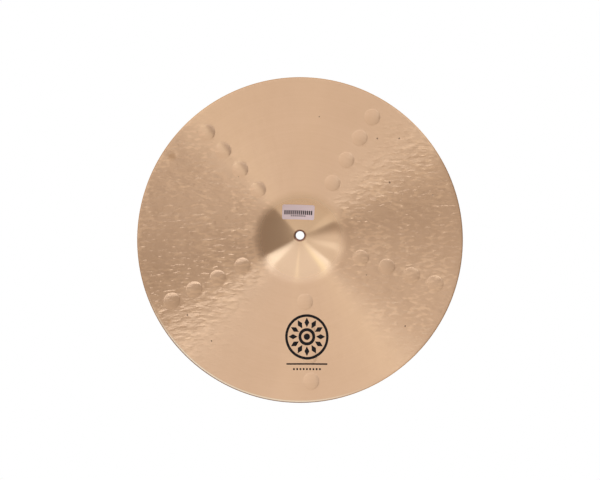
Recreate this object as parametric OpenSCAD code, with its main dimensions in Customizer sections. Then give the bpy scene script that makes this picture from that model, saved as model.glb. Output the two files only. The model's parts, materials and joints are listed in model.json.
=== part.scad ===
// Crash cymbal, bell up: one spun and hammered bronze plate with a paper label stuck inside its
// bell and two prints on the underside of its bow. The origin is on the axis of the centre hole,
// in the plane that the rim rests on, and +Z points out through the bell.

/* [Plate] */
// Diameter of the plate across its rim
plate_d = 457.2; // [440:0.2:520]
// Height that the underside of the bow would reach on the axis if there were no bell
bow_rise = 21; // [16:0.5:28]
// Thickness of the bronze at the rim
edge_t = 0.8; // [0.6:0.1:1.4]
// Thickness of the bronze at the axis
centre_t = 1.2; // [1:0.1:2]
// Width of the flat land under the rim
rim_land = 1; // [0.6:0.1:2]
// Diameter of the centre hole
hole_d = 12.5; // [10:0.1:16]

/* [Bell] */
// Diameter at which the curve of the bell would meet the curve of the bow
bell_d = 120; // [114:1:140]
// Height of the underside of the bell above that meeting line
bell_rise = 21; // [16:0.5:28]
// Radius of the soft blend between bell and bow, on the underside
blend_r = 32; // [10:1:36]

/* [Hammer dents] */
// Diameter of one round dent
dent_d = 22.5; // [16:0.5:26]
// Depth of one round dent
dent_depth = 0.4; // [0.2:0.05:0.6]
// Number of dents along each arm
dents_per_arm = 4; // [2:1:5]
// Distance from the bell's meeting line to the first dent's middle
first_dent_gap = 32; // [28:1:38]
// Distance from the last dent's middle to the rim
last_dent_gap = 28; // [20:1:40]
// Share by which the dents bunch towards the rim
dent_bunching = 0.1; // [0:0.05:0.3]

/* [Bell label] */
// Width of the paper label
label_w = 47; // [36:0.5:48]
// Height of the paper label
label_h = 22.5; // [16:0.5:24]
// Radius of the label's corners
label_corner_r = 2.5; // [1:0.5:4]
// Thickness of the paper with its glue
label_t = 0.2; // [0.1:0.01:0.3]
// Distance from the axis to the label's middle
label_from_axis = 35.5; // [30:0.5:37]
// Direction from the axis to the label's middle
label_angle = 86; // [0:1:359]
// Turn of the label against the line square to that direction
label_turn = 6; // [-10:1:10]

/* [Label print] */
// Number of bars, all alike
bar_count = 14; // [6:1:15]
// Distance from one bar to the next
bar_pitch = 3; // [2:0.1:3]
// Width of one bar
bar_w = 1.8; // [0.8:0.1:1.9]
// Height of one bar
bar_h = 6.5; // [4:0.5:8]
// Shift of the bars from the label's middle, towards the axis
bar_shift = 0.6; // [0:0.1:1.5]
// Number of small dashes under the bars
dash_count = 8; // [4:1:9]
// Distance from one small dash to the next
dash_pitch = 2.8; // [2.6:0.1:3]
// Width of one small dash
dash_w = 1.7; // [1:0.1:2]
// Height of one small dash
dash_h = 1.6; // [1:0.1:2]
// Gap between the bars and the dashes
dash_gap = 1.2; // [0.8:0.1:1.6]

/* [Bow print] */
// Thickness of every layer of ink
ink_t = 0.2; // [0.1:0.01:0.3]
// Distance from the rim to the middle of the roundel
roundel_from_rim = 88; // [84:1:92]
// Direction from the axis to the middle of the roundel
roundel_angle = 266; // [262:1:268]
// Turn of the prints against the line square to that direction
print_turn = 4; // [-10:1:10]
// Diameter of the roundel
roundel_d = 62; // [50:1:64]
// Width of the roundel's outer ring
outer_ring_w = 3.6; // [1:0.1:4.2]
// Diameter of the roundel's inner ring
inner_ring_d = 24; // [20:1:26]
// Width of the roundel's inner ring
inner_ring_w = 4.2; // [1:0.1:4.5]
// Number of lozenges between the two rings
lozenge_count = 12; // [8:1:14]
// Width of one lozenge
lozenge_w = 7; // [3:0.1:7.4]
// Clear gap between a lozenge's points and the rings
lozenge_gap = 1.2; // [0.6:0.1:2]
// Diameter of the spot in the middle
spot_d = 9; // [4:0.5:9.5]
// Gap between the roundel and the first rule under it
rule_gap = 5; // [4:0.5:7]
// Length of the first rule
rule_l = 58; // [40:1:60]
// Height of a rule
rule_h = 2; // [1:0.1:3]
// Gap between the first rule and the row of dots under it
dot_gap = 4.5; // [3:0.5:6]
// Number of dots
dot_count = 9; // [5:1:10]
// Diameter of one dot
dot_d = 2.8; // [2:0.1:3]
// Distance from one dot to the next
dot_pitch = 4.6; // [4.4:0.1:5]

/* [Hidden] */
$fn = 180;
// Steps of the plate's long arcs and of its turn, fine enough for the thin paper and ink on it
arc_fn = 1440;
turn_fn = 360;

// Directions of the five arms of dents, as a hammer by hand spaced them
arm_angles = [49, 120.5, 198, 265.5, 334.5];

// Radius of the circle through a point at half_w whose crown stands rise above it
function arc_r(half_w, rise) = (half_w * half_w + rise * rise) / (2 * rise);

plate_r = plate_d / 2;
hole_r = hole_d / 2;

// Circles of the bow: radius, and height of the centre on the axis
bow_low_r = arc_r(plate_r - rim_land, bow_rise);
bow_low_z = bow_rise - bow_low_r;
bow_top_r = arc_r(plate_r, bow_rise + centre_t - edge_t);
bow_top_z = bow_rise + centre_t - bow_top_r;

// Circles of the bell share one centre
bell_meet_r = bell_d / 2;
bell_low_r = arc_r(bell_meet_r, bell_rise);
bell_top_r = bell_low_r + centre_t;
bell_z = bow_low_z + sqrt(bow_low_r * bow_low_r - bell_meet_r * bell_meet_r) + bell_rise - bell_low_r;

plate_h = bell_z + bell_top_r;

// Dents are shallow caps of one ball each, kept as lenses a little wider than the dent
dent_r = dent_d / 2;
dent_ball_r = arc_r(dent_r, dent_depth);
lens_margin = 1;
lens_h = dent_depth + edge_t / 2;
first_dent_r = bell_meet_r + first_dent_gap;
last_dent_r = plate_r - last_dent_gap;

// Distance from the axis to dent i, from 0 at the bell to the last at the rim
function dent_share(u) = u + dent_bunching * u * (1 - u);
function dent_from_axis(i) =
    first_dent_r + (last_dent_r - first_dent_r) * dent_share(i / (dents_per_arm - 1));

// Centre of the blend circle, which touches the circles of the bell and the bow from above
function blend_z(bell, bow, bow_z, blend) =
    (pow(bell + blend, 2) - pow(bow + blend, 2) - bell_z * bell_z + bow_z * bow_z)
    / (2 * (bow_z - bell_z));
function blend_x(bell, blend, z) = sqrt(pow(bell + blend, 2) - pow(z - bell_z, 2));

// Everything under one face of the plate, in section
module below_face(bell, bow, bow_z, blend) {
    z = blend_z(bell, bow, bow_z, blend);
    x = blend_x(bell, blend, z);
    translate([0, bell_z]) circle(bell, $fn = arc_fn);
    translate([0, bow_z]) circle(bow, $fn = arc_fn);
    difference() {
        polygon([[x, z], [0, bell_z], [0, bow_z]]);
        translate([x, z]) circle(blend);
    }
}

module plate_section() {
    intersection() {
        translate([hole_r, 0]) square([plate_r - hole_r, plate_h]);
        difference() {
            below_face(bell_top_r, bow_top_r, bow_top_z, blend_r - centre_t);
            below_face(bell_low_r, bow_low_r, bow_low_z, blend_r);
        }
    }
}

// A lens that hangs dent_depth under the ball of radius face_r; skin makes it fatter
module dent_lens(face_r, skin) {
    seat = sqrt(face_r * face_r - dent_r * dent_r);
    translate([0, 0, seat - dent_depth])
        intersection() {
            translate([0, 0, dent_ball_r]) sphere(dent_ball_r + skin);
            translate([0, 0, -skin]) cylinder(r = dent_r + lens_margin, h = lens_h + skin);
        }
}

module arm_of_dents(angle, face_r, face_z, skin = 0) {
    for (i = [0 : dents_per_arm - 1])
        translate([0, 0, face_z])
            rotate([0, asin(dent_from_axis(i) / face_r), angle])
                dent_lens(face_r, skin);
}

module cymbal_plate() {
    color([0.80, 0.66, 0.52])
        difference() {
            union() {
                rotate_extrude($fn = turn_fn) plate_section();
                for (angle = arm_angles) arm_of_dents(angle, bow_low_r, bow_low_z);
            }
            for (angle = arm_angles) arm_of_dents(angle, bow_top_r, bow_top_z);
        }
}

module rounded_rectangle(w, h, r) {
    square([w - 2 * r, h], center = true);
    square([w, h - 2 * r], center = true);
    for (x = [-1, 1], y = [-1, 1])
        translate([x * (w / 2 - r), y * (h / 2 - r)]) circle(r);
}

// The crown of a ball that is centred on the axis at height z, from the rim's plane up
module crown(r, z) {
    rotate_extrude($fn = turn_fn)
        intersection() {
            translate([0, z]) circle(r, $fn = arc_fn);
            square([plate_r, plate_h]);
        }
}

// The air under bell, blend and bow less a skin on the bronze
module air_under_bell(skin) {
    rotate_extrude($fn = turn_fn)
        intersection() {
            below_face(bell_low_r - skin, bow_low_r - skin, bow_low_z, blend_r + skin);
            square([plate_r, plate_h]);
        }
}

// Lays a flat outline on the underside of the bell, depth below the bronze and t thick
module on_bell(depth, t) {
    intersection() {
        difference() {
            air_under_bell(depth);
            air_under_bell(depth + t);
        }
        rotate(label_angle)
            translate([label_from_axis, 0])
                rotate(label_turn - 90)
                    linear_extrude(plate_h) children();
    }
}

module bell_label() {
    color([0.80, 0.72, 0.74])
        on_bell(0, label_t) rounded_rectangle(label_w, label_h, label_corner_r);
}

// Copies of a child in one row along X, centred on the origin
module row(count, pitch) {
    for (i = [0 : count - 1]) translate([(i - (count - 1) / 2) * pitch, 0]) children();
}

module label_print() {
    dash_y = -bar_shift - bar_h / 2 - dash_gap - dash_h / 2;
    color([0.16, 0.11, 0.11])
        on_bell(label_t, ink_t) {
            translate([0, -bar_shift]) row(bar_count, bar_pitch) square([bar_w, bar_h], center = true);
            translate([0, dash_y]) row(dash_count, dash_pitch) square([dash_w, dash_h], center = true);
        }
}

// Index of the arm of dents that runs under the prints on the bow
print_arm = 3;

// The air under the bow less a skin on the bronze, where the prints lie
module air_under_bow(skin) {
    difference() {
        crown(bow_low_r - skin, bow_low_z);
        arm_of_dents(arm_angles[print_arm], bow_low_r, bow_low_z, skin);
    }
}

// Lays a flat outline on the underside of the bow, over the dents, with +Y towards the axis
module on_bow() {
    intersection() {
        rotate(roundel_angle)
            translate([plate_r - roundel_from_rim, 0])
                rotate(90 + print_turn)
                    linear_extrude(plate_h) children();
        difference() {
            air_under_bow(0);
            air_under_bow(ink_t);
        }
    }
}

module ring(d, w) {
    difference() {
        circle(d = d);
        circle(d = d - 2 * w);
    }
}

module lozenge(w, l) {
    polygon([[-w / 2, 0], [0, -l / 2], [w / 2, 0], [0, l / 2]]);
}

module bow_roundel() {
    lozenge_in = inner_ring_d / 2 + lozenge_gap;
    lozenge_out = roundel_d / 2 - outer_ring_w - lozenge_gap;
    color([0.11, 0.08, 0.08])
        on_bow() {
            ring(roundel_d, outer_ring_w);
            ring(inner_ring_d, inner_ring_w);
            circle(d = spot_d);
            for (i = [0 : lozenge_count - 1])
                rotate(i * 360 / lozenge_count)
                    translate([0, (lozenge_in + lozenge_out) / 2])
                        lozenge(lozenge_w, lozenge_out - lozenge_in);
        }
}

module bow_rules() {
    rule_y = roundel_d / 2 + rule_gap + rule_h / 2;
    dot_y = rule_y + rule_h / 2 + dot_gap + dot_d / 2;
    color([0.11, 0.08, 0.08])
        on_bow() {
            translate([0, -rule_y]) square([rule_l, rule_h], center = true);
            translate([0, -dot_y]) row(dot_count, dot_pitch) circle(d = dot_d);
        }
}

cymbal_plate();
bell_label();
label_print();
bow_roundel();
bow_rules();
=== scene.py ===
"""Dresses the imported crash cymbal: a hammered bronze plate, a label in its bell and two prints on its bow.

Lengths are metres in the frame's own axes. The centre hole's axis is Z, the rim rests on z = 0, bell up.
A flat outline is drawn first, from height 0 to height 1, and is then laid on its metal.
"""

import json
import logging
import math
from dataclasses import dataclass
from enum import Enum
from typing import Union

import bpy
from mathutils import Matrix, Vector


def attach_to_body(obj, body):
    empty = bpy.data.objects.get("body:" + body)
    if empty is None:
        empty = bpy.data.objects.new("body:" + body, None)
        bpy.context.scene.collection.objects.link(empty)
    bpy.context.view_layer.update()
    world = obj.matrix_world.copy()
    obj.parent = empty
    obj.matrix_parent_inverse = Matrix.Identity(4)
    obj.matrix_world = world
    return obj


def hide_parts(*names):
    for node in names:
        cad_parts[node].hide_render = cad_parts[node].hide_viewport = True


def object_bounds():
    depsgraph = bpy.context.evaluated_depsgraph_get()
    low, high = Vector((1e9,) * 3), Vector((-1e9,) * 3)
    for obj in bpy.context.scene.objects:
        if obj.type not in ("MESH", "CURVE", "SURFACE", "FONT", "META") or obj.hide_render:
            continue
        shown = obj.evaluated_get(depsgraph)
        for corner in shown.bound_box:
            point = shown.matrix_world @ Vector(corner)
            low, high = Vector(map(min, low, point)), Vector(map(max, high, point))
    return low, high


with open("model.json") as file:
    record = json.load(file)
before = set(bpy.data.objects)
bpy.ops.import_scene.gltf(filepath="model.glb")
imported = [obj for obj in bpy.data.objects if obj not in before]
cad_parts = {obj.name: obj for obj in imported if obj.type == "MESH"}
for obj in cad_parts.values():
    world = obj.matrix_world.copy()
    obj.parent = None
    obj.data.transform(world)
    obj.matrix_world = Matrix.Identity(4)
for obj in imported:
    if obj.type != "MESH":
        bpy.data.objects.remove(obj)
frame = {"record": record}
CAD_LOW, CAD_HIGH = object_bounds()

LOG = logging.getLogger("cymbal")
MM = 0.001
BODY = "root"


# ---- nodes


class Field:
    """A node socket that takes part in arithmetic, each step of which adds a Math node."""

    def __init__(self, graph: "Graph", socket: bpy.types.NodeSocket) -> None:
        """Keeps the socket and the graph that it belongs to."""
        self.graph = graph
        self.socket = socket

    def __add__(self, other: "Number") -> "Field":
        """Sum."""
        return self.graph.math("ADD", self, other)

    def __radd__(self, other: float) -> "Field":
        """Sum with a plain number in front."""
        return self.graph.math("ADD", other, self)

    def __sub__(self, other: "Number") -> "Field":
        """Difference."""
        return self.graph.math("SUBTRACT", self, other)

    def __rsub__(self, other: float) -> "Field":
        """Difference from a plain number."""
        return self.graph.math("SUBTRACT", other, self)

    def __mul__(self, other: "Number") -> "Field":
        """Product."""
        return self.graph.math("MULTIPLY", self, other)

    def __rmul__(self, other: float) -> "Field":
        """Product with a plain number in front."""
        return self.graph.math("MULTIPLY", other, self)

    def __truediv__(self, other: "Number") -> "Field":
        """Quotient."""
        return self.graph.math("DIVIDE", self, other)

    def root(self) -> "Field":
        """Square root, 0 where the value is negative."""
        return self.graph.math("SQRT", self)

    def size(self) -> "Field":
        """Absolute value."""
        return self.graph.math("ABSOLUTE", self)

    def below(self, limit: "Number") -> "Field":
        """1 where the value is under the limit and 0 elsewhere."""
        return self.graph.math("LESS_THAN", self, limit)

    def sign(self) -> "Field":
        """1 where the value is above zero and -1 where it is below."""
        return self.graph.math("SIGN", self)

    def lesser(self, other: "Number") -> "Field":
        """The smaller of two values."""
        return self.graph.math("MINIMUM", self, other)

    def greater(self, other: "Number") -> "Field":
        """The larger of two values."""
        return self.graph.math("MAXIMUM", self, other)

    def above(self, least: float) -> "Field":
        """A value from 0 to 1, squeezed into least to 1."""
        return self * (1 - least) + least

    def step(self, start: "Number", end: "Number") -> "Field":
        """A smooth step from 0 at start to 1 at end."""
        node = self.graph.node(
            "ShaderNodeMapRange",
            {"Value": self, "From Min": start, "From Max": end},
            interpolation_type="SMOOTHSTEP",
        )
        return self.graph.out(node)


Number = Union[float, Field]
Colour = tuple[float, float, float, float]
Span = tuple[float, float]


class Graph:
    """Adds nodes and links to one node tree, of materials, the world or geometry."""

    def __init__(self, tree: bpy.types.NodeTree) -> None:
        """Keeps the tree."""
        self.tree = tree

    def node(self, kind: str, inputs: dict | None = None, **settings) -> bpy.types.Node:
        """Adds a node.

        Args:
            kind: the node's type name.
            inputs: input name or number to a Field, which is linked, or a plain value.
            settings: properties of the node itself, set before its inputs.

        Returns:
            The new node.
        """
        node = self.tree.nodes.new(kind)
        for name, value in settings.items():
            setattr(node, name, value)
        for key, value in (inputs or {}).items():
            self.feed(node.inputs[key], value)
        return node

    def feed(self, socket: bpy.types.NodeSocket, value: object) -> None:
        """Links a Field to a socket, or sets the socket's own value."""
        if isinstance(value, Field):
            self.tree.links.new(value.socket, socket)
        else:
            socket.default_value = value

    def out(self, node: bpy.types.Node, key: Union[int, str] = 0) -> Field:
        """One output of a node as a Field."""
        return Field(self, node.outputs[key])

    def math(self, operation: str, *values: Number) -> Field:
        """A Math node on one to three values."""
        return self.out(self.node("ShaderNodeMath", dict(enumerate(values)), operation=operation))

    def vector(self, operation: str, *values: object) -> Field:
        """A Vector Math node on one or two vectors."""
        node = self.node("ShaderNodeVectorMath", dict(enumerate(values)), operation=operation)
        return self.out(node, "Value" if operation in ("LENGTH", "DISTANCE", "DOT_PRODUCT") else "Vector")

    def scaled(self, vector: Field, factor: Number) -> Field:
        """A vector times a number."""
        node = self.node("ShaderNodeVectorMath", {"Vector": vector, "Scale": factor}, operation="SCALE")
        return self.out(node, "Vector")

    def join(self, x: Number, y: Number, z: Number) -> Field:
        """A vector from its three parts."""
        return self.out(self.node("ShaderNodeCombineXYZ", {0: x, 1: y, 2: z}))

    def split(self, vector: Field) -> tuple[Field, Field, Field]:
        """The three parts of a vector."""
        node = self.node("ShaderNodeSeparateXYZ", {0: vector})
        return self.out(node, 0), self.out(node, 1), self.out(node, 2)

    def bearing(self, x: Field, y: Field) -> Field:
        """Direction of a point from the axis, in degrees from -180 to 180."""
        return self.math("ARCTAN2", y, x) * (180 / math.pi)

    def off_bearing(self, bearing: Field, middle: float) -> Field:
        """How far a direction lies from another, in degrees from 0 to 180."""
        return self.math("WRAP", bearing - middle, 180.0, -180.0).size()

    def switch(self, flag: Field, when_one: Number, when_zero: Number) -> Field:
        """Picks between two numbers by a flag of 0 or 1."""
        return when_zero + flag * (when_one - when_zero)

    def noise(self, vector: Field, scale: float, detail: float = 2.0, roughness: float = 0.5) -> Field:
        """Smooth noise from 0 to 1 with a mean of a half."""
        node = self.node(
            "ShaderNodeTexNoise",
            {"Vector": vector, "Scale": scale, "Detail": detail, "Roughness": roughness},
            noise_dimensions="3D",
        )
        return self.out(node, 0)


# ---- sizes of the plate


@dataclass(frozen=True)
class Face:
    """One face of the plate in section: a bell circle and a bow circle round the axis, and their blend."""

    bell_radius: float
    bell_centre: float
    bow_radius: float
    bow_centre: float
    blend_radius: float

    @property
    def blend_z(self) -> float:
        """Height of the centre of the blend circle, which touches the other two from above."""
        bell = (self.bell_radius + self.blend_radius) ** 2 - self.bell_centre**2
        bow = (self.bow_radius + self.blend_radius) ** 2 - self.bow_centre**2
        return (bell - bow) / (2 * (self.bow_centre - self.bell_centre))

    @property
    def blend_r(self) -> float:
        """Distance from the axis to the centre of the blend circle."""
        reach = self.bell_radius + self.blend_radius
        return math.sqrt(reach**2 - (self.blend_z - self.bell_centre) ** 2)

    @property
    def bell_end(self) -> float:
        """Distance from the axis at which the bell's circle hands over to the blend."""
        return self.blend_r * self.bell_radius / (self.bell_radius + self.blend_radius)

    @property
    def bow_start(self) -> float:
        """Distance from the axis at which the blend hands over to the bow's circle."""
        return self.blend_r * self.bow_radius / (self.bow_radius + self.blend_radius)

    def height(self, graph: Graph, r: Field) -> Field:
        """Height of the face at a distance from the axis.

        Args:
            graph: the tree to add nodes to.
            r: the distance from the axis.

        Returns:
            The height, as nodes.
        """
        bell = (self.bell_radius**2 - r * r).root() + self.bell_centre
        bow = (self.bow_radius**2 - r * r).root() + self.bow_centre
        off = r - self.blend_r
        blend = self.blend_z - (self.blend_radius**2 - off * off).root()
        outer = graph.switch(r.below(self.bow_start), blend, bow)
        return graph.switch(r.below(self.bell_end), bell, outer)


@dataclass(frozen=True)
class PlateSizes:
    """Sizes of the bronze plate, the same as its solid's."""

    rim_radius: float = (CAD_HIGH.x - CAD_LOW.x) / 2
    hole_radius: float = frame["record"]["mounts"][0]["dims"]["r_mm"] * MM
    bow_rise: float = 21 * MM
    edge_thickness: float = 0.8 * MM
    centre_thickness: float = 1.2 * MM
    rim_land: float = 1 * MM
    bell_meet_radius: float = 60 * MM
    bell_rise: float = 21 * MM
    blend_radius: float = 32 * MM
    dent_radius: float = 11.25 * MM
    dent_depth: float = 0.4 * MM
    dents_per_arm: int = 4
    first_dent_gap: float = 32 * MM
    last_dent_gap: float = 28 * MM
    dent_bunching: float = 0.1
    arm_angles: tuple[float, ...] = (49, 120.5, 198, 265.5, 334.5)
    print_from_rim: float = 88 * MM

    @property
    def print_radius(self) -> float:
        """Distance from the axis to the middle of the roundel."""
        return self.rim_radius - self.print_from_rim

    @staticmethod
    def arc(half_width: float, rise: float) -> float:
        """Radius of the circle through a point at half_width whose crown stands rise above it."""
        return (half_width**2 + rise**2) / (2 * rise)

    def underside(self) -> Face:
        """The face that looks down."""
        bow = self.arc(self.rim_radius - self.rim_land, self.bow_rise)
        bell = self.arc(self.bell_meet_radius, self.bell_rise)
        bow_centre = self.bow_rise - bow
        meet = bow_centre + math.sqrt(bow**2 - self.bell_meet_radius**2)
        return Face(bell, meet + self.bell_rise - bell, bow, bow_centre, self.blend_radius)

    def topside(self) -> Face:
        """The face that looks up."""
        low = self.underside()
        rise = self.bow_rise + self.centre_thickness - self.edge_thickness
        bow = self.arc(self.rim_radius, rise)
        return Face(
            low.bell_radius + self.centre_thickness,
            low.bell_centre,
            bow,
            self.bow_rise + self.centre_thickness - bow,
            self.blend_radius - self.centre_thickness,
        )

    def dent_centres(self) -> list[Vector]:
        """Middles of the dents on the rim's plane, arm by arm."""
        first = self.bell_meet_radius + self.first_dent_gap
        last = self.rim_radius - self.last_dent_gap
        places = []
        for angle in map(math.radians, self.arm_angles):
            for i in range(self.dents_per_arm):
                share = i / (self.dents_per_arm - 1)
                share += self.dent_bunching * share * (1 - share)
                r = first + (last - first) * share
                places.append(Vector((r * math.cos(angle), r * math.sin(angle), 0)))
        return places


# ---- finishes


class Finish:
    """A procedural surface. A subclass adds its nodes in dress()."""

    name = "finish"

    def material(self) -> bpy.types.Material:
        """Makes the material, or returns the one made before."""
        made = bpy.data.materials.get(self.name)
        if made:
            return made
        made = bpy.data.materials.new(self.name)
        made.use_nodes = True
        graph = Graph(made.node_tree)
        self.dress(graph, made.node_tree.nodes["Principled BSDF"])
        return made

    def dress(self, graph: Graph, shader: bpy.types.Node) -> None:
        """Feeds the shader."""
        raise NotImplementedError

    @staticmethod
    def place(graph: Graph) -> Field:
        """The point of the surface in the frame's axes."""
        return graph.out(graph.node("ShaderNodeTexCoord"), "Object")

    @staticmethod
    def mix(graph: Graph, share: Number, first: object, second: object) -> Field:
        """A colour between two others."""
        node = graph.node("ShaderNodeMix", data_type="RGBA", clamp_factor=True)
        graph.feed(node.inputs["Factor"], share)
        graph.feed(node.inputs[6], first)
        graph.feed(node.inputs[7], second)
        return Field(graph, node.outputs[2])


@dataclass(frozen=True)
class Blemish:
    """A small mark on the bow: its distance from the axis and its radius in mm, its direction in degrees."""

    from_axis: float
    angle: float
    radius: float

    @property
    def place(self) -> tuple[float, float, float]:
        """The mark's middle on the rim's plane."""
        a = math.radians(self.angle)
        return (self.from_axis * MM * math.cos(a), self.from_axis * MM * math.sin(a), 0.0)


PITS = tuple(
    Blemish(*mark)
    for mark in (
        (176, 99, 1.2), (180, 127.5, 1.5), (200, 134.5, 1.4), (151, 148, 2.0), (198, 161.5, 1.3),
        (109, 209, 1.0), (193, 219.5, 1.4), (192, 326, 1.5), (191, 311, 1.4),
    )
)
STAINS = (Blemish(216, 33, 7), Blemish(217, 328, 4))


@dataclass(frozen=True)
class Waves:
    """A noise that is stretched along X: its cells per metre each way, its seed and its detail."""

    x_cells: float
    y_cells: float
    seed: float
    detail: float

    def draw(self, graph: Graph, x: Field, y: Field) -> Field:
        """The noise at a point, from 0 to 1."""
        return graph.noise(graph.join(x * self.x_cells, y * self.y_cells, self.seed), 1.0, self.detail)


def on_sides(across: Field) -> Field:
    """1 to the sides of the axis and 0 in front of it and behind it, from a direction's X part."""
    return across.size().step(0.5, 0.85)


@dataclass(frozen=True)
class LathedBronze(Finish):
    """Cymbal bronze. Its turning stretches every reflection along the radius."""

    name: str = "lathed_bronze"
    colour: Colour = (0.79, 0.485, 0.303, 1)
    pale: Colour = (0.84, 0.525, 0.338, 1)
    bell: Colour = (0.755, 0.485, 0.302, 1)
    # painted highlight: a paler colour that stands in for the glints of the hammer's wavelets on the two
    # sides
    painted_glint: Colour = (0.99, 0.625, 0.395, 1)
    # painted highlight: a pale line just inside the rim's painted shade
    painted_rim_highlight: Colour = (1.0, 0.80, 0.60, 1)
    orange: Colour = (0.62, 0.33, 0.16, 1)
    # brown: the rim's painted shade on one side, and the dark ring round the hole
    brown: Colour = (0.20, 0.075, 0.05, 1)
    pit: Colour = (0.16, 0.09, 0.06, 1)
    bell_share: float = 0.85
    painted_glint_share: float = 0.7
    stain_share: float = 0.45
    stain_ragged: float = 1.6
    stain_range: Span = (0.1, 1.1)
    painted_rim_highlight_share: float = 0.8
    rim_share: float = 0.9
    hole_share: float = 0.95
    pit_share: float = 0.85

    band_cells: Span = (30.0, 330.0)
    band_gain: float = 1.1
    cloud_cells: float = 9.0
    cloud_gain: float = 1.3
    blotch_cells: float = 60.0
    blotch_gain: float = 0.5

    # the pattern of the painted glints: its waves, their range and the swells that join them
    painted_glint_waves: Waves = Waves(100.0, 220.0, 6.0, 0.8)
    painted_glint_range: Span = (0.86, 1.08)
    swell_cells: float = 24.0
    swell_gain: float = 0.7
    dashes: Waves = Waves(100.0, 225.0, 3.0, 1.0)
    dash_range: Span = (0.48, 0.82)
    dash_depth: float = 0.15 * MM
    grain: Waves = Waves(70.0, 150.0, 9.0, 0.8)
    grain_depth: float = 0.34 * MM
    least_side: float = 0.25
    left_gain: float = 0.35
    left_range: Span = (0.55, 0.9)

    roughness: float = 0.31
    bell_roughness: float = 0.23
    uneven_roughness: float = 0.05
    uneven_cells: float = 14.0

    rim_radius: float = 228.6 * MM
    rim_range: Span = (1.5 * MM, 0.8 * MM)
    # the painted highlight line's inset, then where the rim's painted shade lies and how far it spreads
    painted_rim_highlight_range: Span = (3.4 * MM, 2.6 * MM)
    painted_rim_shade_angle: float = -68.0
    painted_rim_shade_spread: float = 55.0
    calm_range: Span = (8 * MM, 1 * MM)
    hole_radius: float = 6.25 * MM
    hole_ring_start: float = 1.2 * MM
    hole_ring_end: float = 2.4 * MM
    hole_ring_soft: float = 1.6 * MM
    hole_ring_ragged: float = 5 * MM
    blend_start: float = 53 * MM
    blend_end: float = 69 * MM
    dent_radius: float = 11.25 * MM
    dent_calm: float = 3 * MM
    least_struck: float = 0.25
    step_width: float = 1.0 * MM
    step_over: float = 0.1 * MM
    step_depth: float = 0.17 * MM
    pit_cells: float = 900.0
    pit_ragged: float = 1.2
    pit_range: Span = (0.5, 1.0)
    pit_depth: float = 0.15 * MM

    def nearest(self, graph: Graph, flat: Field, marks: tuple[Blemish, ...]) -> Field:
        """Distance to the nearest mark, in that mark's radii.

        Args:
            graph: the tree to add nodes to.
            flat: the point's place on the rim's plane.
            marks: the marks to look for.

        Returns:
            The distance, which is 1 on the edge of a mark.
        """
        best: Number = 99.0
        for mark in marks:
            reach = graph.vector("DISTANCE", flat, mark.place) / (mark.radius * MM)
            best = reach.lesser(best)
        return best

    def tarnish(self, graph: Graph, point: Field, r: Field, blotches: Field) -> Field:
        """The bare metal's colour, in turned bands and clouds."""
        _, _, z = graph.split(point)
        bands = graph.noise(graph.join(0.0, z * self.band_cells[0], r * self.band_cells[1]), 1.0, 4.0, 0.65)
        clouds = graph.noise(point, self.cloud_cells, 3.0)
        share = (bands - 0.5) * self.band_gain + (clouds - 0.5) * self.cloud_gain
        return self.mix(graph, share + (blotches - 0.5) * self.blotch_gain + 0.5, self.colour, self.pale)

    def rim_with_painted_light(self, graph: Graph, colour: Field, bearing: Field, r: Field) -> Field:
        """Adds the edge: orange all round, and on one side a painted shade in brown with a painted highlight
        line inside it.
        """
        off = graph.off_bearing(bearing, self.painted_rim_shade_angle)
        # painted shade: the rim turns brown on one side, where it lies in shade
        dark = 1.0 - off.step(self.painted_rim_shade_spread * 0.4, self.painted_rim_shade_spread)
        inset = self.rim_radius - r
        # painted highlight: a pale line just inside the painted shade, for the light on the rounded edge
        line = inset.step(*self.painted_rim_highlight_range) * dark
        colour = self.mix(graph, line * self.painted_rim_highlight_share, colour, self.painted_rim_highlight)
        edge_and_painted_shade_colour = self.mix(graph, dark, self.orange, self.brown)
        return self.mix(graph, inset.step(*self.rim_range) * self.rim_share, colour, edge_and_painted_shade_colour)

    def tint(self, graph: Graph, point: Field, r: Field, flat: Field) -> Field:
        """The surface's colour: tarnish, painted glints of the hammer's wavelets on the two sides, stains,
        the edge with a painted shade on one side and a painted highlight line inside it, and a dark ragged
        ring at the hole.

        Args:
            graph: the tree to add nodes to.
            point: the point of the surface.
            r: its distance from the axis.
            flat: its place on the rim's plane.

        Returns:
            The colour.
        """
        x, y, _ = graph.split(point)
        blotches = graph.noise(point, self.blotch_cells, 2.0)
        on_bell = 1.0 - r.step(self.blend_start, self.blend_end)
        colour = self.tarnish(graph, point, r, blotches)
        colour = self.mix(graph, on_bell * self.bell_share, colour, self.bell)
        swells = graph.noise(point, self.swell_cells, 1.0) * self.swell_gain
        # painted highlight: the wavelets' glints on the two sides are painted as paler colour, over their
        # real relief
        painted_glint_waves = (self.painted_glint_waves.draw(graph, x, y) + swells).step(*self.painted_glint_range)
        painted_glint = painted_glint_waves * on_sides(x / r) * (1.0 - on_bell) * self.painted_glint_share
        colour = self.mix(graph, painted_glint, colour, self.painted_glint)
        reach = self.nearest(graph, flat, STAINS) + (blotches - 0.5) * self.stain_ragged
        stain = 1.0 - reach.step(*self.stain_range)
        colour = self.mix(graph, stain * self.stain_share, colour, self.orange)
        # the edge: orange all round, with painted shade on one side and a painted highlight line
        colour = self.rim_with_painted_light(graph, colour, graph.bearing(x, y), r)
        # a darker ragged ring round the hole
        ragged = self.hole_radius + self.hole_ring_end + (blotches - 0.5) * self.hole_ring_ragged
        hole = 1.0 - r.step(self.hole_radius + self.hole_ring_start, ragged + self.hole_ring_soft)
        return self.mix(graph, hole * self.hole_share, colour, self.brown)

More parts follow.
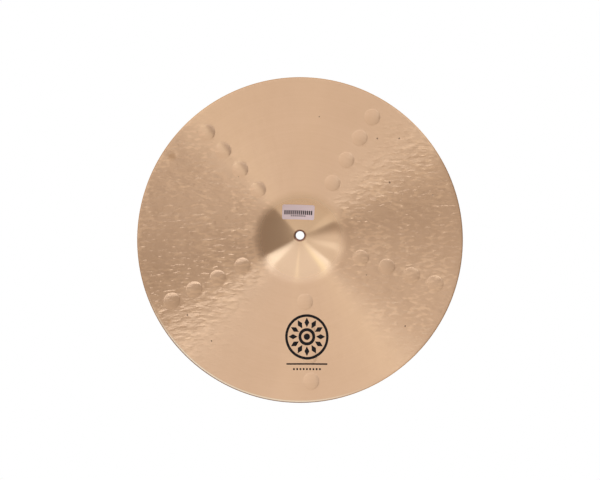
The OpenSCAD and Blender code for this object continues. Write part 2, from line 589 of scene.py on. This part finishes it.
    def relief(self, graph: Graph, flat: Field, r: Field, pit: Field) -> Field:
        """Height of what is too fine for the mesh: the hammer's wavelets, the lips of dents, and pits.

        Args:
            graph: the tree to add nodes to.
            flat: the point's place on the rim's plane.
            r: its distance from the axis.
            pit: 1 in a pit and 0 elsewhere.

        Returns:
            The height, out of the surface.
        """
        x, y, _ = graph.split(flat)
        on_bow = r.step(self.blend_end - 2 * MM, self.blend_end + 10 * MM)
        calm_rim = 1.0 - r.step(self.rim_radius - self.calm_range[0], self.rim_radius - self.calm_range[1])
        dashes = self.dashes.draw(graph, x, y).step(*self.dash_range)
        grain = self.grain.draw(graph, x, y) - 0.5
        dent = graph.out(graph.node("ShaderNodeAttribute", attribute_name="dent"), "Fac")
        struck = dent.step(self.dent_radius, self.dent_radius + self.dent_calm).above(self.least_struck)
        left = (x / r).step(*self.left_range) * self.left_gain
        sides = on_sides(x / r).above(self.least_side) + left
        hammered = (dashes * self.dash_depth + grain * self.grain_depth) * on_bow * calm_rim * struck * sides
        step = 1.0 - dent.step(self.dent_radius - self.step_width, self.dent_radius + self.step_over)
        _, _, facing = graph.split(graph.out(graph.node("ShaderNodeNewGeometry"), "True Normal"))
        return hammered - step * self.step_depth * facing.sign() - pit * self.pit_depth

    def dress(self, graph: Graph, shader: bpy.types.Node) -> None:
        """Feeds the shader with colour, with a gloss that is stretched along the radius, and with relief."""
        point = self.place(graph)
        x, y, _ = graph.split(point)
        flat = graph.join(x, y, 0.0)
        r = graph.vector("LENGTH", flat)
        ragged = (graph.noise(point, self.pit_cells, 1.0) - 0.5) * self.pit_ragged
        pit = 1.0 - (self.nearest(graph, flat, PITS) + ragged).step(*self.pit_range)
        colour = self.mix(graph, pit * self.pit_share, self.tint(graph, point, r, flat), self.pit)
        graph.feed(shader.inputs["Base Color"], colour)

        shader.inputs["Metallic"].default_value = 1.0
        shader.inputs["Anisotropic"].default_value = 1.0
        graph.feed(shader.inputs["Tangent"], graph.vector("NORMALIZE", flat))
        clouds = graph.noise(point, self.uneven_cells, 2.0)
        beyond_bell = r.step(self.blend_start - 6 * MM, self.blend_end)
        even = graph.switch(beyond_bell, self.roughness, self.bell_roughness)
        graph.feed(shader.inputs["Roughness"], even + (clouds - 0.5) * self.uneven_roughness)

        height = self.relief(graph, flat, r, pit)
        bump = graph.node("ShaderNodeBump", {"Strength": 1.0, "Distance": 1.0, "Height": height})
        graph.feed(shader.inputs["Normal"], graph.out(bump))


@dataclass(frozen=True)
class Paper(Finish):
    """Matt label paper with a faint fibre."""

    name: str = "matt_paper"
    colour: Colour = (0.67, 0.460, 0.432, 1)
    dusk: Colour = (0.61, 0.420, 0.398, 1)
    roughness: float = 0.55
    uneven_roughness: float = 0.2
    cloud_cells: float = 60.0
    fibre_cells: float = 2500.0
    fibre_depth: float = 0.05 * MM

    def dress(self, graph: Graph, shader: bpy.types.Node) -> None:
        """Feeds the shader with fibre and a slightly uneven tone."""
        point = self.place(graph)
        clouds = graph.noise(point, self.cloud_cells, 3.0)
        fibre = graph.noise(point, self.fibre_cells, 2.0)
        graph.feed(shader.inputs["Base Color"], self.mix(graph, clouds, self.colour, self.dusk))
        graph.feed(shader.inputs["Roughness"], self.roughness + fibre * self.uneven_roughness)
        bump = graph.node("ShaderNodeBump", {"Strength": 0.3, "Distance": self.fibre_depth, "Height": fibre})
        graph.feed(shader.inputs["Normal"], graph.out(bump))


@dataclass(frozen=True)
class Ink(Finish):
    """A film of printed ink, a little uneven where it is thin."""

    name: str = "ink"
    colour: Colour = (0.008, 0.005, 0.005, 1)
    thin: Colour = (0.022, 0.014, 0.013, 1)
    roughness: float = 0.38
    uneven_roughness: float = 0.15
    shine: float = 0.15
    speck_cells: float = 900.0
    speck_range: Span = (0.45, 0.75)

    def dress(self, graph: Graph, shader: bpy.types.Node) -> None:
        """Feeds the shader with specks of thinner ink."""
        point = self.place(graph)
        specks = graph.noise(point, self.speck_cells, 2.0).step(*self.speck_range)
        graph.feed(shader.inputs["Base Color"], self.mix(graph, specks, self.colour, self.thin))
        graph.feed(shader.inputs["Roughness"], self.roughness + specks * self.uneven_roughness)
        shader.inputs["Specular IOR Level"].default_value = self.shine


# ---- geometry trees


class Outline(Enum):
    """The flat shapes that the prints are made of."""

    BAR = "bar"
    LOZENGE = "lozenge"
    DOT = "dot"


class GeometryTree(Graph):
    """A Geometry Nodes tree with named inputs, which ends in one realized mesh with one material."""

    def __init__(self, name: str) -> None:
        """Makes an empty tree.

        Args:
            name: the tree's name.
        """
        super().__init__(bpy.data.node_groups.new(name, "GeometryNodeTree"))
        self.values: dict[str, object] = {}
        self.tree.interface.new_socket("Geometry", in_out="INPUT", socket_type="NodeSocketGeometry")
        self.tree.interface.new_socket("Geometry", in_out="OUTPUT", socket_type="NodeSocketGeometry")
        self.entry = self.tree.nodes.new("NodeGroupInput")
        self.exit = self.tree.nodes.new("NodeGroupOutput")

    def size(self, name: str, value: object, kind: str = "Float") -> Field:
        """Adds a named input and returns it as a Field.

        Args:
            name: the input's name.
            value: what the modifier sets it to.
            kind: the socket's kind, such as Float, Int, Object or Material.

        Returns:
            The input.
        """
        socket = self.tree.interface.new_socket(name, in_out="INPUT", socket_type=f"NodeSocket{kind}")
        self.values[socket.identifier] = value
        return Field(self, self.entry.outputs[name])

    def base(self) -> Field:
        """The geometry of the object that carries the modifier."""
        return Field(self, self.entry.outputs["Geometry"])

    def point(self) -> Field:
        """The place of each vertex."""
        return self.out(self.node("GeometryNodeInputPosition"))

    def grid(self, width: Number, depth: Number, columns: Number, rows: Number) -> Field:
        """A flat grid in the XY plane, centred on the origin, with so many vertices each way."""
        node = self.node(
            "GeometryNodeMeshGrid",
            {"Size X": width, "Size Y": depth, "Vertices X": columns, "Vertices Y": rows},
        )
        return self.out(node, "Mesh")

    def disc(self, radius: float, steps: int) -> Field:
        """A flat disc in the XY plane, centred on the origin."""
        circle = {"Vertices": steps, "Radius": radius}
        return self.out(self.node("GeometryNodeMeshCircle", circle, fill_type="TRIANGLE_FAN"))

    def moved(self, mesh: Field, place: Field, where: Field | None = None) -> Field:
        """A mesh with its vertices put somewhere else.

        Args:
            mesh: the mesh.
            place: each vertex's new place.
            where: a flag for the vertices that move, or None for all.

        Returns:
            The changed mesh.
        """
        inputs = {"Geometry": mesh, "Position": place}
        if where is not None:
            inputs["Selection"] = where
        return self.out(self.node("GeometryNodeSetPosition", inputs))

    def turned(self, mesh: Field, shift: object, turn: object, scale: object) -> Field:
        """A mesh that is scaled, then turned, then shifted."""
        node = self.node(
            "GeometryNodeTransform",
            {"Geometry": mesh, "Translation": shift, "Rotation": turn, "Scale": scale},
        )
        return self.out(node)

    def joined(self, *meshes: Field) -> Field:
        """Several meshes as one."""
        node = self.node("GeometryNodeJoinGeometry")
        for mesh in meshes:
            self.tree.links.new(mesh.socket, node.inputs[0])
        return self.out(node)

    def kept(self, mesh: Field, name: str, value: Field) -> Field:
        """A mesh that keeps a value for each vertex, under a name."""
        node = self.node("GeometryNodeStoreNamedAttribute", {"Geometry": mesh, "Name": name, "Value": value})
        return self.out(node)

    def merged(self, mesh: Field) -> Field:
        """A mesh with its doubled vertices made one."""
        return self.out(self.node("GeometryNodeMergeByDistance", {"Geometry": mesh, "Distance": 1e-7}))

    def thickened(self, sheet: Field) -> Field:
        """A closed block of height 1 whose bottom is the sheet, with every face outwards."""
        raised = self.node(
            "GeometryNodeExtrudeMesh",
            {"Mesh": sheet, "Offset": (0, 0, 1), "Offset Scale": 1.0, "Individual": False},
        )
        under = self.out(self.node("GeometryNodeFlipFaces", {"Mesh": sheet}))
        return self.merged(self.joined(self.out(raised), under))

    def finish(self, mesh: Field, finish: Finish, smooth: bool) -> None:
        """Realizes the mesh, gives it its material and ends the tree."""
        shaded = self.out(self.node("GeometryNodeSetShadeSmooth", {0: mesh, "Shade Smooth": smooth}))
        whole = self.out(self.node("GeometryNodeRealizeInstances", {"Geometry": shaded}))
        material = self.size("Finish", finish.material(), "Material")
        dressed = self.node("GeometryNodeSetMaterial", {"Geometry": whole, "Material": material})
        self.tree.links.new(dressed.outputs[0], self.exit.inputs["Geometry"])

    def make(self, name: str, points: list[Vector] | None = None) -> bpy.types.Object:
        """Runs the tree on a new object and keeps only the plain mesh that it gives.

        Args:
            name: the object's name.
            points: vertices for the tree to start from.

        Returns:
            The object, at the origin, without a modifier.
        """
        seed = bpy.data.meshes.new(name + "_seed")
        seed.from_pydata([tuple(p) for p in points or []], [], [])
        piece = bpy.data.objects.new(name, seed)
        bpy.context.scene.collection.objects.link(piece)
        modifier = piece.modifiers.new("shape", "NODES")
        modifier.node_group = self.tree
        for identifier, value in self.values.items():
            modifier[identifier] = value
        bpy.context.view_layer.update()
        shown = piece.evaluated_get(bpy.context.evaluated_depsgraph_get())
        mesh = bpy.data.meshes.new_from_object(shown)
        piece.modifiers.clear()
        piece.data = mesh
        mesh.name = name
        bpy.data.meshes.remove(seed)
        return piece


# ---- pieces


@dataclass
class BronzePlate:
    """The one sheet of metal: bell, bow and rim, with its dents and hammering."""

    sizes: PlateSizes = PlateSizes()
    rings: int = 110
    hole_rings: int = 6
    rim_rings: int = 3
    rim_round: float = 0.35 * MM
    dent_snap: float = 0.9 * MM
    dent_step: float = 0.12 * MM
    dent_crown: float = 0.36 * MM
    dent_step_width: float = 1.6 * MM
    dent_calm: float = 5 * MM
    least_struck: float = 0.2
    least_side: float = 0.4
    ripple_turns: float = 18.0
    ripple_cells: float = 70.0
    ripple_depth: float = 0.40 * MM
    swell_turns: float = 7.0
    swell_cells: float = 22.0
    swell_depth: float = 0.50 * MM
    calm_bell: Span = (6 * MM, 20 * MM)
    calm_rim: float = 5 * MM

    def disc_place(self, tree: GeometryTree) -> tuple[Field, Field]:
        """Maps the square grid onto rings round the axis.

        Args:
            tree: the plate's tree.

        Returns:
            The flat place of each vertex, and how far round the rim's edge it lies, from 0 to 1.
        """
        x, y, _ = tree.split(tree.point())
        ring = x.size().greater(y.size()) * float(self.rings)
        angle = tree.math("ARCTAN2", y, x)
        quarter = tree.math("ROUND", angle / (math.pi / 2)) * (math.pi / 2)
        turn = quarter + tree.math("TANGENT", angle - quarter) * (math.pi / 4)
        flat_rings = self.rings - self.hole_rings - self.rim_rings
        share = (ring - float(self.hole_rings)) / float(flat_rings)
        span = self.sizes.rim_radius - self.rim_round - self.sizes.hole_radius
        edge = ((ring - float(self.rings - self.rim_rings)) / float(self.rim_rings)).greater(0.0)
        round_out = tree.math("SINE", edge * (math.pi / 2)) * self.rim_round
        r = self.sizes.hole_radius + share.lesser(1.0) * span + round_out
        place = tree.join(r * tree.math("COSINE", turn), r * tree.math("SINE", turn), 0.0)
        return place, edge

    def hammering(self, tree: GeometryTree, place: Field, r: Field) -> Field:
        """Height of the hammer's ripples, which run out along the radius, over the even curve.

        Args:
            tree: the plate's tree.
            place: each vertex's place on the rim's plane.
            r: its distance from the axis.

        Returns:
            The height, which is 0 on the bell and at the rim.
        """
        along = tree.vector("NORMALIZE", place)
        fine_x, fine_y, _ = tree.split(tree.scaled(along, self.ripple_turns))
        wide_x, wide_y, _ = tree.split(tree.scaled(along, self.swell_turns))
        ripple = tree.noise(tree.join(fine_x, fine_y, r * self.ripple_cells), 1.0, 1.5)
        swell = tree.noise(tree.join(wide_x, wide_y, r * self.swell_cells + 5.0), 1.0, 1.0)
        meet = self.sizes.bell_meet_radius
        on_bow = r.step(meet + self.calm_bell[0], meet + self.calm_bell[1])
        calm_rim = 1.0 - r.step(self.sizes.rim_radius - self.calm_rim, self.sizes.rim_radius)
        ripples = (ripple - 0.5) * self.ripple_depth + (swell - 0.5) * self.swell_depth
        x, _, _ = tree.split(along)
        return ripples * on_bow * calm_rim * on_sides(x).above(self.least_side)

    def sheet(self, tree: GeometryTree) -> Field:
        """The flat plate as rings round its hole, which keeps how far round the edge each vertex lies."""
        count = 2 * self.rings + 1
        grid = tree.grid(2.0, 2.0, count, count)
        x, y, _ = tree.split(tree.point())
        in_hole = x.size().greater(y.size()).below((self.hole_rings - 0.5) / self.rings)
        inputs = {"Geometry": grid, "Selection": in_hole}
        cut = tree.node("GeometryNodeDeleteGeometry", inputs, domain="POINT")
        place, edge = self.disc_place(tree)
        return tree.moved(tree.kept(tree.out(cut), "edge", edge), place)

    def onto_lips(self, tree: GeometryTree, disc: Field, dent: Field) -> Field:
        """The flat plate with the vertices near a dent's lip moved onto it."""
        near = tree.node("GeometryNodeProximity", {"Geometry": tree.base()}, target_element="POINTS")
        middle = tree.out(near, "Position")
        reach = tree.out(near, "Distance")
        at_lip = (reach - dent).size().below(self.dent_snap)
        out = tree.scaled(tree.vector("SUBTRACT", tree.point(), middle), dent / reach)
        return tree.moved(disc, tree.vector("ADD", middle, out), at_lip)

    def build(self) -> bpy.types.Object:
        """Makes the plate and dresses it."""
        sizes = self.sizes
        tree = GeometryTree("plate_shape")
        dent = tree.size("Dent Radius", sizes.dent_radius)
        crown = tree.size("Dent Depth", sizes.dent_depth + self.dent_crown - self.dent_step)
        block = tree.thickened(self.onto_lips(tree, self.sheet(tree), dent))

        px, py, level = tree.split(tree.point())
        r = (px * px + py * py).root()
        flat = tree.join(px, py, 0.0)
        edge = tree.out(tree.node("GeometryNodeInputNamedAttribute", {"Name": "edge"}, data_type="FLOAT"))
        drop = (1.0 - tree.math("COSINE", edge * (math.pi / 2))) * self.rim_round
        low = sizes.underside().height(tree, r).greater(0.0) + drop
        top = sizes.topside().height(tree, r) - drop

        aim = {"Geometry": tree.base(), "Sample Position": flat}
        far = tree.out(tree.node("GeometryNodeProximity", aim, target_element="POINTS"), "Distance")
        share = far / dent
        cap = (1.0 - share * share).greater(0.0) * crown
        step = 1.0 - far.step(sizes.dent_radius - self.dent_step_width, sizes.dent_radius)
        struck = far.step(sizes.dent_radius, sizes.dent_radius + self.dent_calm).above(self.least_struck)
        bend = self.hammering(tree, flat, r) * struck - cap - step * self.dent_step
        height = tree.switch(level.below(0.5), low, top) + bend
        shaped = tree.moved(tree.kept(block, "dent", far), tree.join(px, py, height))
        bare = tree.node("GeometryNodeRemoveAttribute", {"Geometry": shaped, "Name": "edge"})
        tree.finish(tree.out(bare), LathedBronze(rim_radius=sizes.rim_radius), True)
        return tree.make("bronze_plate", sizes.dent_centres())


@dataclass(frozen=True)
class Spot:
    """A place on the underside: a distance from the axis, a direction and a turn."""

    from_axis: float
    angle: float
    turn: float

    @property
    def shift(self) -> Vector:
        """The place on the rim's plane."""
        a = math.radians(self.angle)
        return Vector((self.from_axis * math.cos(a), self.from_axis * math.sin(a), 0))

    @property
    def spin(self) -> tuple[float, float, float]:
        """The turn about Z, in radians."""
        return (0.0, 0.0, math.radians(self.angle + self.turn))


@dataclass
class Laid:
    """A thin film that follows the face that carries it."""

    name: str
    finish: Finish
    spot: Spot
    carrier: bpy.types.Object
    thickness: float = 0.08 * MM
    sunk: float = 0.03 * MM

    def draw(self, tree: GeometryTree) -> Field:
        """Draws the flat outline, centred on the origin."""
        raise NotImplementedError

    def build(self) -> bpy.types.Object:
        """Draws the outline, thickens it and lays it on its carrier's underside."""
        tree = GeometryTree(self.name + "_shape")
        outline = self.draw(tree)
        whole = tree.out(tree.node("GeometryNodeRealizeInstances", {"Geometry": outline}))
        placed = tree.turned(whole, self.spot.shift, self.spot.spin, (1, 1, 1))
        block = tree.thickened(placed)
        px, py, level = tree.split(tree.point())
        carrier = tree.size("Carrier", self.carrier, "Object")
        target = tree.out(tree.node("GeometryNodeObjectInfo", {"Object": carrier}), "Geometry")
        aim = {"Source Position": tree.join(px, py, -1.0), "Ray Direction": (0, 0, 1), "Ray Length": 2.0}
        ray = tree.node("GeometryNodeRaycast", {"Target Geometry": target, **aim})
        _, _, found = tree.split(tree.out(ray, "Hit Position"))
        thickness = tree.size("Thickness", self.thickness)
        height = tree.switch(level.below(0.5), found - thickness, found + self.sunk)
        laid = tree.moved(block, tree.join(px, py, height))
        tree.finish(laid, self.finish, False)
        return tree.make(self.name)


@dataclass
class PaperLabel(Laid):
    """The paper label, a rectangle with round corners."""

    width: float = 47 * MM
    depth: float = 22.5 * MM
    corner: float = 2.5 * MM
    columns: int = 95
    rows: int = 44

    def draw(self, tree: GeometryTree) -> Field:
        """Draws the label and pulls its corners round."""
        width, depth = tree.size("Width", self.width), tree.size("Depth", self.depth)
        sheet = tree.grid(width, depth, self.columns, self.rows)
        x, y, _ = tree.split(tree.point())
        end_x, end_y = self.width / 2 - self.corner, self.depth / 2 - self.corner
        inner = tree.join(x.greater(-end_x).lesser(end_x), y.greater(-end_y).lesser(end_y), 0.0)
        out = tree.vector("SUBTRACT", tree.point(), inner)
        length = tree.vector("LENGTH", out)
        pull = tree.math("DIVIDE", self.corner, length.greater(1e-9)).lesser(1.0)
        return tree.moved(sheet, tree.vector("ADD", inner, tree.scaled(out, pull)))


@dataclass
class MarkRow(Laid):
    """A row of marks, all alike, on the label or the bow."""

    outline: Outline = Outline.BAR
    count: int = 14
    pitch: float = 3 * MM
    width: float = 1.8 * MM
    depth: float = 6.5 * MM
    offset: float = 0.0

    def mark(self, tree: GeometryTree) -> Field:
        """Draws one mark, centred on the origin."""
        if self.outline is Outline.DOT:
            return tree.disc(self.width / 2, 32)
        columns, rows = (max(3, round(side / MM) + 1) for side in (self.width, self.depth))
        return tree.grid(self.width, self.depth, columns, rows)

    def draw(self, tree: GeometryTree) -> Field:
        """Sets the marks in one row along X."""
        count = tree.size("Count", self.count, "Int")
        pitch = tree.size("Pitch", self.pitch)
        start = (-(self.count - 1) / 2 * self.pitch, self.offset, 0)
        offset = tree.join(pitch, 0.0, 0.0)
        line = tree.node("GeometryNodeMeshLine", {"Count": count, "Offset": offset, "Start Location": start})
        inputs = {"Points": tree.out(line), "Instance": self.mark(tree)}
        marks = tree.node("GeometryNodeInstanceOnPoints", inputs)
        return tree.out(marks)


@dataclass
class Roundel(Laid):
    """A plain round ornament: two rings, a spot and a ring of lozenges."""

    diameter: float = 62 * MM
    outer_width: float = 3.6 * MM
    inner_diameter: float = 24 * MM
    inner_width: float = 4.2 * MM
    lozenges: int = 12
    lozenge_width: float = 7 * MM
    gap: float = 1.2 * MM
    spot_diameter: float = 9 * MM

    def ring(self, tree: GeometryTree, outer: float, inner: float, steps: int) -> Field:
        """Draws a flat ring by bending a strip round.

        Args:
            tree: the roundel's tree.
            outer: the ring's outer radius.
            inner: its inner radius.
            steps: how many pieces it is cut into.

        Returns:
            The ring, in the XY plane.
        """
        rows = max(2, round((outer - inner) / MM) + 1)
        strip = tree.grid(1.0, 1.0, steps + 1, rows)
        x, y, _ = tree.split(tree.point())
        angle = x * (2 * math.pi)
        r = (outer + inner) / 2 - y * (outer - inner)
        bent = tree.moved(strip, tree.join(r * tree.math("COSINE", angle), r * tree.math("SINE", angle), 0.0))
        return tree.merged(bent)

    def draw(self, tree: GeometryTree) -> Field:
        """Draws the rings, the spot and the lozenges."""
        outer = self.diameter / 2
        inner = self.inner_diameter / 2
        rings = self.ring(tree, outer, outer - self.outer_width, 192)
        hub = self.ring(tree, inner, inner - self.inner_width, 96)
        spot = tree.disc(self.spot_diameter / 2, 48)
        start = inner + self.gap
        end = outer - self.outer_width - self.gap
        diagonal = math.sqrt(2)
        square = tree.grid(1.0, 1.0, 10, 10)
        diamond = tree.turned(square, (0, 0, 0), (0, 0, math.pi / 4), (1, 1, 1))
        stretch = ((end - start) / diagonal, self.lozenge_width / diagonal, 1)
        lozenge = tree.turned(diamond, ((start + end) / 2, 0, 0), (0, 0, 0), stretch)
        count = tree.size("Lozenges", self.lozenges, "Int")
        dots = tree.out(tree.node("GeometryNodeMeshLine", {"Count": count, "Offset": (0, 0, 0)}))
        index = tree.out(tree.node("GeometryNodeInputIndex"))
        turn = index * (2 * math.pi) / count + math.pi / 2
        inputs = {"Points": dots, "Instance": lozenge, "Rotation": tree.join(0.0, 0.0, turn)}
        placed = tree.node("GeometryNodeInstanceOnPoints", inputs)
        return tree.joined(rings, hub, spot, tree.out(placed))


# ---- studio


@dataclass(frozen=True)
class Tone:
    """How strong a colour of the light is beside red: its share in faint light, its gain and its loss."""

    share: float
    gain: float
    warm_loss: float

    def of(self, level: Field, warmth: Number) -> Field:
        """The channel, at a level of red and a warmth."""
        return level * (level * self.gain + self.share - warmth * self.warm_loss)


@dataclass(frozen=True)
class Softbox:
    """A soft upright bank of light round the studio, by its direction from the axis in degrees."""

    angle: float
    half_width: float
    softness: float
    level: float
    warmth: float = 0.0


@dataclass
class Studio:
    """Camera, floor and the soft banks of light all round the cymbal."""

    lens: float = 30.0
    distance: float = 0.7015
    eye_y: float = 0.1190
    shift: float = -0.1413
    floor_height: float = -1.6
    floor_half: float = 60.0
    floor_colour: Colour = (0.95, 0.95, 0.95, 1)
    floor_roughness: float = 0.9
    dark_level: float = 0.36
    axis_level: float = 0.64
    paper_gain: float = 1.44
    axis_reach: float = 0.10
    green: Tone = Tone(0.90, 0.17, 0.1)
    blue: Tone = Tone(0.81, 0.30, 0.9)
    softboxes: tuple[Softbox, ...] = (
        Softbox(96, 64, 2, 0.725, -0.06),
        Softbox(10, 18, 22, 0.61),
        Softbox(-22, 6, 12, 0.08),
        Softbox(-79.5, 43.5, 3, 0.46, 0.12),
        Softbox(-40, 6, 2.5, 0.13),
        Softbox(150, 7, 5, 0.50),
        Softbox(96, 1.5, 3, 0.20, 0.6),
        Softbox(45, 2.5, 5, 0.28, 0.8),
        Softbox(4, 3, 5, 0.26),
    )

    def add_camera(self) -> None:
        """Puts the camera under the cymbal, square to its rim, where image up is +Y."""
        data = bpy.data.cameras.new("camera")
        data.lens = self.lens
        data.shift_y = self.shift
        data.clip_start = 0.01
        camera = bpy.data.objects.new("camera", data)
        bpy.context.scene.collection.objects.link(camera)
        right, up, back = Vector((-1, 0, 0)), Vector((0, 1, 0)), Vector((0, 0, -1))
        turn = Matrix((right, up, back)).transposed().to_4x4()
        camera.matrix_world = Matrix.Translation((0, self.eye_y, -self.distance)) @ turn
        bpy.context.scene.camera = camera

    def add_floor(self) -> None:
        """Lays a plain pale floor far under the cymbal, behind the camera."""
        mesh = bpy.data.meshes.new("floor")
        half = self.floor_half
        corners = [(-half, -half), (half, -half), (half, half), (-half, half)]
        mesh.from_pydata([(x, y, self.floor_height) for x, y in corners], [], [(0, 1, 2, 3)])
        floor = bpy.data.objects.new("floor", mesh)
        bpy.context.scene.collection.objects.link(floor)
        material = bpy.data.materials.new("floor")
        material.use_nodes = True
        shader = material.node_tree.nodes["Principled BSDF"]
        shader.inputs["Base Color"].default_value = self.floor_colour
        shader.inputs["Roughness"].default_value = self.floor_roughness
        mesh.materials.append(material)
        floor.visible_glossy = False
        floor.visible_diffuse = False

    def add_light(self) -> None:
        """Lights the cymbal from a round room whose soft banks of light stand at chosen directions."""
        world = bpy.data.worlds.new("studio")
        world.use_nodes = True
        graph = Graph(world.node_tree)
        x, y, _ = graph.split(graph.out(graph.node("ShaderNodeTexCoord"), "Generated"))
        bearing = graph.bearing(x, y)
        level: Number = self.dark_level
        warmth: Number = 0.0
        for box in self.softboxes:
            off = graph.off_bearing(bearing, box.angle)
            glow = (1.0 - off.step(box.half_width, box.half_width + box.softness)) * box.level
            level = glow + level
            warmth = glow * box.warmth + warmth
        spread = (x * x + y * y).root().step(0.0, self.axis_reach)
        level = graph.switch(spread, level, self.axis_level)
        path = graph.node("ShaderNodeLightPath")
        level = level * (graph.out(path, "Is Diffuse Ray") * (self.paper_gain - 1) + 1.0)
        glow = graph.join(level, self.green.of(level, warmth), self.blue.of(level, warmth))
        shown = Finish.mix(graph, graph.out(path, "Is Camera Ray"), glow, (1, 1, 1, 1))
        background = world.node_tree.nodes["Background"]
        graph.feed(background.inputs["Color"], shown)
        bpy.context.scene.world = world

    def build(self) -> None:
        """Sets up the whole studio."""
        bpy.context.scene.view_settings.view_transform = "Standard"
        self.add_camera()
        self.add_floor()
        self.add_light()


# ---- assembly


def attach(piece: bpy.types.Object, slot: str, *nodes: str) -> None:
    """Ties a piece to the frame and reports it.

    Args:
        piece: the finished piece.
        slot: the record's material slot; not used.
        nodes: the CAD nodes that the piece stands for.
    """
    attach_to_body(piece, BODY)
    if nodes:
        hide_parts(*nodes)
    LOG.info("%s: %d faces", piece.name, len(piece.data.polygons))


def join(name: str, parts: list[bpy.types.Object]) -> bpy.types.Object:
    """Makes one object of several that share a finish."""
    with bpy.context.temp_override(active_object=parts[0], selected_editable_objects=parts):
        bpy.ops.object.join()
    parts[0].name = name
    parts[0].data.name = name
    return parts[0]


def add_label(plate: bpy.types.Object) -> None:
    """Lays the paper label in the bell, with a row of bars and a row of dashes on it."""
    spot = Spot(35.5 * MM, 86, 6 - 90)
    label = PaperLabel("paper_label", Paper(), spot, plate).build()
    attach(label, "label_paper", "bell_label")

    thermal = Ink("thermal_print", (0.010, 0.006, 0.006, 1), (0.03, 0.018, 0.018, 1), 0.6)
    film = (thermal, spot, label, 0.05 * MM)
    bars = MarkRow("label_bars", *film, offset=-0.6 * MM).build()
    dash = {"pitch": 2.8 * MM, "width": 1.7 * MM, "depth": 1.6 * MM}
    dashes = MarkRow("label_dashes", *film, count=8, offset=-5.85 * MM, **dash).build()
    attach(join("label_bars", [bars, dashes]), "label_ink", "label_print")


def add_bow_print(plate: bpy.types.Object) -> None:
    """Lays the roundel on the bow, with a rule and a row of dots outside it."""
    film = (Ink("screen_print"), Spot(PlateSizes().print_radius, 266, 94), plate)
    attach(Roundel("roundel", *film).build(), "bow_ink", "bow_roundel")

    rule = MarkRow("bow_rule", *film, count=1, width=58 * MM, depth=2 * MM, offset=-37 * MM).build()
    dot = {"outline": Outline.DOT, "pitch": 4.6 * MM, "width": 2.8 * MM}
    dots = MarkRow("bow_dots", *film, count=9, offset=-43.9 * MM, **dot).build()
    attach(join("bow_lines", [rule, dots]), "bow_ink", "bow_rules")


def main() -> None:
    """Builds the cymbal and its studio."""
    logging.basicConfig(level=logging.INFO, format="%(message)s")
    plate = BronzePlate().build()
    attach(plate, "bronze", "cymbal_plate")
    add_label(plate)
    add_bow_print(plate)

    Studio().build()


if __name__ == "__main__":
    main()
